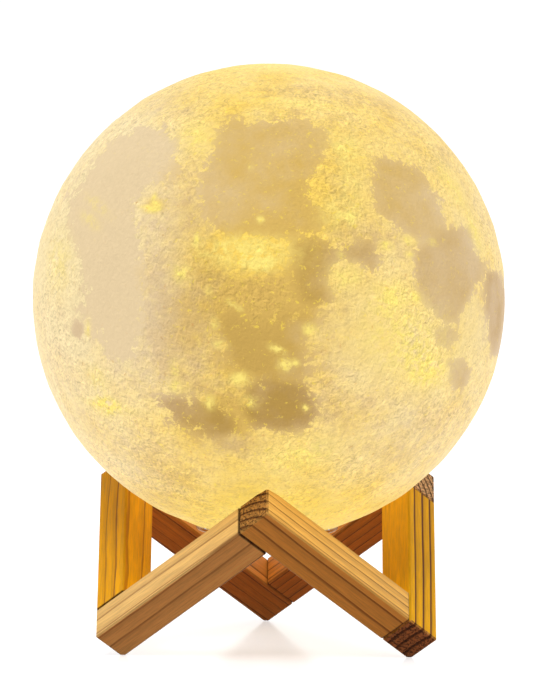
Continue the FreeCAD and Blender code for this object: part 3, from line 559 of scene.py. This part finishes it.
def makeGlobeMaterial(finish, kinds, grain):
    material, tree, shader, where = startMaterial("printed globe")
    fields = {
        name: addNode(tree, "Attribute", attribute_name=name).outputs["Fac"]
        for name in ("plains", "depth", "dusky", "bright", "glow")}
    broad, ragged, blotches, fine, flecks, pits, patches = (
        noiseOf(tree, where, *kinds[kind])
        for kind in ("broad", "ragged", "blotches", "fine", "flecks", "pits", "patches"))
    drawn = addNode(tree, "Mapping", {
        "Vector": where, "Rotation": grain["streakTurn"], "Scale": grain["streakScale"]}).outputs[0]
    streaks = noiseOf(tree, drawn, *kinds["streaks"])

    # painted shade and light: a second reading a little up and to the left paints each bump bright on one
    # side and dark on the other, as if lit from there
    paintedReliefShift = addNode(tree, "VectorMath", {0: where, 1: grain["paintedReliefShift"]}, operation="ADD").outputs[0]
    paintedRelief = minus(tree, blotches, noiseOf(tree, paintedReliefShift, *kinds["blotches"]))

    def raggedEdge(field, broadBy, raggedBy):
        return plus(tree, field, plus(tree, swing(tree, broad, broadBy), swing(tree, ragged, raggedBy)))
    plains = remap(tree, raggedEdge(fields["plains"], *grain["plainRagged"]), *grain["plainStep"])
    dusky = raggedEdge(fields["dusky"], *grain["duskyRagged"])
    dusky = remap(tree, dusky, *grain["duskyStep"], smooth=False)
    depth = times(tree, fields["depth"], remap(tree, broad, *grain["depthStep"], smooth=False), clamp=True)
    glow = plus(tree, fields["glow"], swing(tree, broad, grain["glowSwing"]), clamp=True)

    highland = mixColours(tree, glow, finish["highlandEdge"], finish["highlandCore"])
    gold = remap(tree, glow, *grain["goldStep"], smooth=False)
    plain = mixColours(tree, gold, finish["plainEdge"], finish["plainCore"])
    deep = mixColours(tree, gold, finish["deepEdge"], finish["deepCore"])
    ground = mixColours(tree, dusky, highland, mixColours(tree, grain["duskyDeep"], plain, deep))
    ground = mixColours(tree, plains, ground, mixColours(tree, depth, plain, deep))

    rough = minus(tree, 1.0, times(tree, plains, grain["plainCalm"]))
    shown = remap(tree, ragged, *grain["brightStep"], smooth=False)
    bright = times(tree, fields["bright"], shown, clamp=True)
    ground = mixColours(tree, bright, ground, finish["brightSpot"])
    flecks = times(tree, times(tree, remap(tree, flecks, *grain["fleckStep"]), glow), grain["fleckShare"])
    ground = mixColours(tree, flecks, ground, finish["fleck"])
    pits = times(tree, times(tree, remap(tree, pits, *grain["pitStep"]), rough), grain["pitShare"])
    ground = mixColours(tree, pits, ground, finish["pit"])

    low = remap(tree, addNode(tree, "SeparateXYZ", {0: where}).outputs[2], *grain["lowStep"])
    patchy = remap(tree, patches, *grain["patchStep"], smooth=False)
    # painted shade and light from the bumps, with fine, blotchy and broad tone that differs at random
    shade = plus(tree, times(tree, paintedRelief, grain["paintedRelief"]), swing(tree, fine, grain["fine"]))
    shade = times(tree, plus(tree, shade, swing(tree, blotches, grain["blotches"])), patchy)
    shade = plus(tree, shade, swing(tree, broad, grain["broad"]))
    shade = plus(tree, shade, times(tree, swing(tree, streaks, grain["streaks"]), low))
    # the low part is painted brighter, as painted light in place of the room light it lacks
    level = plus(tree, grain["level"], times(tree, low, grain["paintedLowLight"]))
    colour = scaleColour(tree, ground, plus(tree, level, times(tree, shade, rough)))
    feed(tree, shader, {
        "Base Color": scaleColour(tree, colour, finish["surface"]),
        "Emission Color": colour,
        "Emission Strength": finish["lit"],
        "Roughness": finish["roughness"],
        "Specular IOR Level": finish["specular"],
        "Normal": bump(tree, times(tree, ragged, rough), finish["bumpDepth"], finish["bumpStrength"]),
    })
    return material


# A name ending in Step again goes to remap.
pineGrain = {
    "wander": (70, 16, 3, 0.5),                 # noise: scale sideways and lengthways, detail, roughness
    "fibres": (1400, 110, 5, 0.68),
    "streaks": (420, 12, 3, 0.55),
    "pits": (1300, 3, 0.65, 0.5),               # noise: scale, detail, roughness, distortion
    "earlyStep": (0.15, 0.90),                  # place in a ring, as are the next five
    "lateStart": 0.84,
    "lateEnd": 0.90,
    "boldStart": 0.13,                          # how much earlier a bold line starts
    "dropStep": (0.925, 0.975, 1.0, 0.0),
    "arcStep": (0.50, 0.80),
    "strengthStep": (0.1, 0.9, 0.35, 1.0),
    "earlyShare": 0.28,
    "streakStep": (0.2, 0.8, 0.86, 1.12),
    "fibreStep": (0.25, 0.75, 0.72, 1.20),
    "pitStep": (0.40, 0.53, 0.30, 1.0),
    "arcShare": 0.85,
    "arcShade": 0.45,
    "edgeStep": (0.0002, 0.0008, 0.72, 1.0),    # m
    "seamStep": (0.0002, 0.0010, 0.22, 1.0),    # m
    "roughStep": (0.2, 0.8, 0.44, 0.62),
    "endRough": 0.25,
    "lineHeight": 0.6,
    "pitHeight": 3.0,
}


def makePineGroup(grain):
    tree, given, out = startGroup("pine grain", {
        "vector": ["Along"],
        "float": ["Pith across", "Pith up", "Ring", "Drift", "Wander", "End", "Bold", "Width", "Length"],
        "colour": ["Light wood", "Dark wood", "End wood"],
    }, {"colour": ["Colour"], "float": ["Roughness", "Height"]})
    place = addNode(tree, "SeparateXYZ", {0: given["Along"]}).outputs

    def drawnOut(sideways, lengthways, detail, roughness):
        sockets = {0: given["Along"], 1: (sideways, sideways, lengthways)}
        stretched = addNode(tree, "VectorMath", sockets, operation="MULTIPLY").outputs[0]
        return noiseOf(tree, stretched, 1.0, detail, roughness)
    wander, fibres, streaks = (drawnOut(*grain[kind]) for kind in ("wander", "fibres", "streaks"))

    # growth rings run round the pith, which lies outside the rails
    across = minus(tree, place[0], given["Pith across"])
    across = plus(tree, across, times(tree, place[2], given["Drift"]))
    up = minus(tree, place[1], given["Pith up"])
    radius = maths(tree, "SQRT", plus(tree, times(tree, across, across), times(tree, up, up)))
    radius = plus(tree, radius, swing(tree, wander, given["Wander"]))
    rings = maths(tree, "DIVIDE", radius, given["Ring"])
    share = maths(tree, "FRACT", rings)
    whole = maths(tree, "FLOOR", rings)
    chance = addNode(tree, "TexWhiteNoise", {"W": whole}, noise_dimensions="1D").outputs["Value"]

    # early wood darkens slowly, and late wood is a thin dark line that ends sharply
    early = remap(tree, share, *grain["earlyStep"])
    start = minus(tree, grain["lateStart"], times(tree, given["Bold"], grain["boldStart"]))
    late = remap(tree, share, start, grain["lateEnd"])
    drop = remap(tree, share, *grain["dropStep"])
    strength = times(tree, remap(tree, chance, *grain["strengthStep"], smooth=False), given["Bold"])
    line = times(tree, times(tree, late, drop), strength, clamp=True)
    tone = times(tree, times(tree, early, drop), times(tree, strength, grain["earlyShare"]))
    wood = mixColours(tree, maths(tree, "MAXIMUM", line, tone), given["Light wood"], given["Dark wood"])
    wood = scaleColour(tree, wood, remap(tree, streaks, *grain["streakStep"], smooth=False))
    wood = scaleColour(tree, wood, remap(tree, fibres, *grain["fibreStep"], smooth=False))

    # sawn ends show the rings as arcs, and open pits
    pits = remap(tree, noiseOf(tree, given["Along"], *grain["pits"]), *grain["pitStep"])
    arc = times(tree, remap(tree, share, *grain["arcStep"]), drop)
    arcColour = scaleColour(tree, given["Dark wood"], grain["arcShade"])
    cut = mixColours(tree, times(tree, arc, grain["arcShare"]), given["End wood"], arcColour)
    colour = mixColours(tree, given["End"], wood, scaleColour(tree, cut, pits))

    # the edges are a little darker, and a dark line of glue shows where the far end butts
    def toNearerSide(value):
        return maths(tree, "MINIMUM", value, minus(tree, given["Width"], value))
    sides = maths(tree, "MAXIMUM", toNearerSide(place[0]), toNearerSide(place[1]))
    edge = remap(tree, sides, *grain["edgeStep"])
    seam = remap(tree, minus(tree, given["Length"], place[2]), *grain["seamStep"])
    rough = remap(tree, fibres, *grain["roughStep"], smooth=False)
    sideHeight = minus(tree, fibres, times(tree, line, grain["lineHeight"]))
    endHeight = times(tree, pits, grain["pitHeight"])
    height = addNode(tree, "Mix", {0: given["End"], 2: sideHeight, 3: endHeight}, data_type="FLOAT")
    feed(tree, out, {
        "Colour": scaleColour(tree, colour, times(tree, edge, seam)),
        "Roughness": plus(tree, rough, times(tree, given["End"], grain["endRough"])),
        "Height": height.outputs[0],
    })
    return tree


stand = {
    "side": 0.076,              # cube that the rails' outer faces lie on
    "bar": 0.0123,
    "footFlat": 0.001,
    "specular": 0.14,
    "bumpDepth": 0.00014,
    "bumpStrength": 0.8,
    "endStep": (0.5, 0.8),      # how square to the rail a face is to count as its end
}

# turn is round the upright axis in degrees; pith is its place across and up from the rail's corner
# light, dark and end are each rail's wood colours, partly the boards' own tone and partly painted light: the
# upright posts rail_left and rail_right are painted a deep orange for the globe's warm glow falling on them,
# and the rear rails are painted lighter against the shade they stand in
rails = {
    "rail_front_right": {
        "lower": False, "turn": 0, "pith": (-0.02, -0.006), "ring": 0.0029, "drift": 0.01,
        "wander": 0.0012, "bold": 1.0,
        "light": (255, 200, 104), "dark": (124, 60, 16), "end": (196, 140, 72)},
    "rail_rear_right": {
        "lower": False, "turn": 120, "pith": (0.03, -0.01), "ring": 0.0026, "drift": 0.012,
        "wander": 0.0016, "bold": 0.9,
        "light": (238, 164, 86), "dark": (116, 60, 24), "end": (250, 200, 146)},
    "rail_left": {
        "lower": False, "turn": 240, "pith": (-0.012, 0.024), "ring": 0.0036, "drift": 0.03,
        "wander": 0.005, "bold": 0.9,
        "light": (255, 184, 0), "dark": (156, 84, 0), "end": (226, 160, 40)},
    "rail_right": {
        "lower": True, "turn": 0, "pith": (-0.03, 0.006), "ring": 0.0034, "drift": 0.004,
        "wander": 0.0012, "bold": 1.9,
        "light": (255, 190, 0), "dark": (104, 48, 4), "end": (196, 136, 88)},
    "rail_rear_left": {
        "lower": True, "turn": 120, "pith": (-0.022, 0.018), "ring": 0.0027, "drift": 0.01,
        "wander": 0.0016, "bold": 0.9,
        "light": (238, 164, 86), "dark": (116, 60, 24), "end": (250, 200, 146)},
    "rail_front_left": {
        "lower": True, "turn": 240, "pith": (0.022, -0.012), "ring": 0.0036, "drift": 0.008,
        "wander": 0.0012, "bold": 0.8,
        "light": (255, 212, 134), "dark": (146, 80, 30), "end": (196, 140, 72)},
}

# the dowels are of the same kind of wood, laid out along rail_right
dowelLook = {
    "lower": True, "turn": 0, "pith": (0.004, 0.002), "ring": 0.0012, "drift": 0.01,
    "wander": 0.001, "bold": 0.6,
    "light": (228, 190, 136), "dark": (170, 120, 70), "end": (200, 160, 110),
}


def cubeEdge(azimuth):
    angle = math.radians(azimuth)
    reach = math.sqrt(2 / 3)
    return Vector((reach * math.sin(angle), -reach * math.cos(angle), math.sqrt(1 / 3)))


def railPlace(lower, turn):
    right, left, back = cubeEdge(60), cubeEdge(-60), cubeEdge(180)
    length = stand["side"] - stand["bar"]
    if lower:
        axes, corner = (left, right, back), right * length
    else:
        axes, corner = (back, right, -left), right * length + left * stand["side"]
    placed = Matrix.Identity(4)
    for column, axis in enumerate(axes):
        for row in range(3):
            placed[row][column] = axis[row]
    placed.translation = corner
    drop = Matrix.Translation((0, 0, -length / math.sqrt(3) - stand["footFlat"]))
    return drop @ Matrix.Rotation(math.radians(turn), 4, "Z") @ placed


def makeRailMaterial(name, pine, look):
    material, tree, shader, where = startMaterial(name.replace("_", " ") + " pine")
    placed = railPlace(look["lower"], look["turn"])
    back = placed.inverted()
    along = addNode(tree, "Mapping", {
        "Vector": where, "Location": back.translation, "Rotation": back.to_euler("XYZ")}).outputs[0]
    axis = placed.to_3x3() @ Vector((0, 0, 1))
    normal = addNode(tree, "TexCoord").outputs["Normal"]
    facing = addNode(tree, "VectorMath", {0: normal, 1: axis}, operation="DOT_PRODUCT").outputs["Value"]
    grain = addNode(tree, "Group", {
        "Along": along, "Pith across": look["pith"][0], "Pith up": look["pith"][1], "Ring": look["ring"],
        "Drift": look["drift"], "Wander": look["wander"], "Bold": look["bold"],
        "End": remap(tree, maths(tree, "ABSOLUTE", facing), *stand["endStep"]),
        "Width": stand["bar"], "Length": stand["side"] - stand["bar"],
        "Light wood": linear(*look["light"]), "Dark wood": linear(*look["dark"]),
        "End wood": linear(*look["end"]),
    }, node_tree=pine).outputs
    feed(tree, shader, {
        "Base Color": grain["Colour"],
        "Roughness": grain["Roughness"],
        "Specular IOR Level": stand["specular"],
        "Normal": bump(tree, grain["Height"], stand["bumpDepth"], stand["bumpStrength"]),
    })
    return material


surfaceGrain = {
    "fine": (3, 0.6),                           # noise: detail, roughness
    "broad": (60.0, 4, 0.55),                   # noise: scale, detail, roughness
    "shadeSwing": 2.0,
    "roughSwing": 0.25,
    "leastRough": 0.05,
    "bumpStrength": 0.5,
}


def makeSurfaceGroup(grain):
    tree, given, out = startGroup("moulded surface", {
        "vector": ["Place"], "colour": ["Colour"], "float": ["Scale", "Uneven", "Roughness"],
    }, {"colour": ["Colour"], "float": ["Roughness", "Height"]})
    broad = noiseOf(tree, given["Place"], *grain["broad"])
    shade = plus(tree, 1.0, swing(tree, broad, times(tree, given["Uneven"], grain["shadeSwing"])))
    rough = plus(tree, given["Roughness"], swing(tree, broad, grain["roughSwing"]))
    feed(tree, out, {
        "Colour": scaleColour(tree, given["Colour"], shade),
        "Roughness": maths(tree, "MAXIMUM", rough, grain["leastRough"]),
        "Height": noiseOf(tree, given["Place"], given["Scale"], *grain["fine"]),
    })
    return tree


# slot: colour, roughness, unevenness, grain scale, bump depth, more shader values
finishes = {
    "base_plastic": ((236, 232, 222), 0.42, 0.03, 1400, 0.00002, {}),
    "cover_plastic": ((240, 238, 230), 0.36, 0.03, 1600, 0.00002, {}),
    "button_plastic": ((226, 224, 218), 0.26, 0.02, 1800, 0.00001, {"Coat Weight": 0.3}),
    "screw_steel": ((196, 194, 190), 0.30, 0.06, 2200, 0.00001, {"Metallic": 1.0}),
    "ring_chrome": ((176, 132, 70), 0.38, 0.05, 2600, 0.000004, {"Metallic": 1.0}),
    "switch_plastic": ((34, 34, 36), 0.45, 0.05, 2000, 0.00001, {}),
    "switch_steel": ((190, 190, 188), 0.32, 0.05, 2200, 0.00001, {"Metallic": 1.0}),
    "port_steel": ((186, 186, 184), 0.28, 0.05, 2200, 0.00001, {"Metallic": 1.0}),
    "light_pipe": ((236, 240, 238), 0.18, 0.02, 1500, 0.000005, {"Transmission Weight": 0.6}),
    "contact_brass": ((206, 168, 92), 0.28, 0.06, 2200, 0.00001, {"Metallic": 1.0}),
    "board_laminate": ((28, 92, 58), 0.38, 0.10, 900, 0.00001, {"Coat Weight": 0.4}),
    "board_white": ((238, 238, 234), 0.34, 0.03, 900, 0.00001, {"Coat Weight": 0.3}),
    "chip_black": ((26, 26, 28), 0.50, 0.08, 1600, 0.00001, {}),
    "battery_foil": ((196, 198, 200), 0.34, 0.10, 500, 0.00003, {"Metallic": 0.85}),
    "pad_foam": ((58, 58, 60), 0.95, 0.20, 700, 0.0001, {}),
    "chip_light": ((250, 214, 92), 0.40, 0.08, 1500, 0.00001, {"Emission Strength": 0.6}),
    "opal_plastic": ((248, 240, 220), 0.32, 0.03, 1200, 0.00001, {"Emission Strength": 0.35}),
    "wire_red": ((188, 24, 20), 0.34, 0.05, 1200, 0.00001, {}),
    "wire_black": ((24, 24, 26), 0.34, 0.05, 1200, 0.00001, {}),
}


def makeFinish(slot, surface, colour, rough, uneven, scale, depth, more):
    material, tree, shader, where = startMaterial(slot.replace("_", " "))
    made = addNode(tree, "Group", {
        "Place": where, "Colour": linear(*colour), "Scale": scale, "Uneven": uneven, "Roughness": rough,
    }, node_tree=surface).outputs
    feed(tree, shader, {
        "Base Color": made["Colour"],
        "Roughness": made["Roughness"],
        "Normal": bump(tree, made["Height"], depth, surfaceGrain["bumpStrength"]),
        **more,
    })
    if "Emission Strength" in more:
        tree.links.new(made["Colour"], shader["Emission Color"])
    return material


def dress(name, material):
    mesh = frame["nodes"][name].data
    mesh.materials.clear()
    mesh.materials.append(material)


surface = makeSurfaceGroup(surfaceGrain)
materials = {slot: makeFinish(slot, surface, *values) for slot, values in finishes.items()}
for part in frame["record"]["subparts"]:
    if part["material_slot"] in materials:
        dress(part["node"], materials[part["material_slot"]])
print("light module dressed")
pine = makePineGroup(pineGrain)
for name, look in rails.items():
    dress(name, makeRailMaterial(name, pine, look))
dress("joint_dowels", makeRailMaterial("dowel", pine, dowelLook))
print("stand dressed")

moon = makeMoon(moonLook, makeGlobeMaterial(globeFinish, globeNoise, globeGrain))
print("moon modelled:", len(moon.data.polygons), "faces")

floorLook = {
    "reach": 9.0,
    "segments": 64,
    "below": 0.0002,            # m under the feet, so that the faces don't meet
    "ownLight": 0.75,           # what it gives towards the camera, so that it shows white
    "colour": linear(227, 230, 236),
    "bounce": linear(150, 104, 76),             # colour of the light that it passes to the lamp
    "gloss": 0.29,
    "glossRoughness": 0.15,
}


def makeFloor(look):
    bm = bmesh.new()
    bmesh.ops.create_circle(bm, cap_ends=True, segments=look["segments"], radius=look["reach"])
    mesh = bpy.data.meshes.new("floor")
    bm.to_mesh(mesh)
    bm.free()
    floor = bpy.data.objects.new("floor", mesh)
    floor.location.z = -look["below"]
    bpy.context.scene.collection.objects.link(floor)
    material = bpy.data.materials.new("floor")
    material.use_nodes = True
    tree = material.node_tree
    tree.nodes.remove(tree.nodes["Principled BSDF"])
    white = (1, 1, 1, 1)
    matt = addNode(tree, "BsdfDiffuse", {"Color": look["colour"]}).outputs[0]
    lit = addNode(tree, "Emission", {"Color": white, "Strength": look["ownLight"]}).outputs[0]
    shown = addNode(tree, "AddShader", {0: matt, 1: lit}).outputs[0]
    glossy = addNode(tree, "BsdfGlossy", {"Color": white, "Roughness": look["glossRoughness"]}).outputs[0]
    shown = addNode(tree, "MixShader", {0: look["gloss"], 1: shown, 2: glossy}).outputs[0]
    bounce = addNode(tree, "BsdfDiffuse", {"Color": look["bounce"]}).outputs[0]
    top = addNode(tree, "MixShader", {0: seenDirectly(tree), 1: bounce, 2: shown}).outputs[0]
    below = addNode(tree, "BsdfTransparent").outputs[0]
    back = addNode(tree, "NewGeometry").outputs["Backfacing"]
    whole = addNode(tree, "MixShader", {0: back, 1: top, 2: below}).outputs[0]
    tree.links.new(whole, tree.nodes["Material Output"].inputs["Surface"])
    mesh.materials.append(material)


lamps = {                       # place, size, power, colour
    "key": ((-0.35, -0.9, 1.5), 0.9, 17.0, (1.0, 0.97, 0.92)),
    "right": ((1.2, -0.7, 0.8), 0.7, 4.0, (1.0, 0.98, 0.95)),
    "rim": ((0.3, 1.2, 1.1), 0.8, 5.0, (1.0, 0.98, 0.95)),
}
lampAim = (0, 0, 0.09)


def makeLamps(lamps, aim):
    for name, (place, size, power, colour) in lamps.items():
        data = bpy.data.lights.new(name, "AREA")
        data.shape = "DISK"
        data.size = size
        data.energy = power
        data.color = colour
        lamp = bpy.data.objects.new(name, data)
        lamp.location = place
        lamp.rotation_mode = "QUATERNION"
        lamp.rotation_quaternion = (Vector(aim) - Vector(place)).to_track_quat("-Z", "Y")
        bpy.context.scene.collection.objects.link(lamp)


airLook = {
    "colour": (1.0, 0.98, 0.95, 1),
    "strength": 0.42,
    "background": (1, 1, 1, 1),
}


def makeAir(look):
    world = bpy.data.worlds.new("air")
    world.use_nodes = True
    bpy.context.scene.world = world
    tree = world.node_tree
    soft = addNode(tree, "Background", {"Color": look["colour"], "Strength": look["strength"]}).outputs[0]
    white = addNode(tree, "Background", {"Color": look["background"], "Strength": 1.0}).outputs[0]
    both = addNode(tree, "MixShader", {0: seenDirectly(tree), 1: soft, 2: white}).outputs[0]
    tree.links.new(both, tree.nodes["World Output"].inputs["Surface"])


makeFloor(floorLook)
makeLamps(lamps, lampAim)
makeAir(airLook)
bpy.context.scene.view_settings.view_transform = "Standard"
print("floor and light ready")
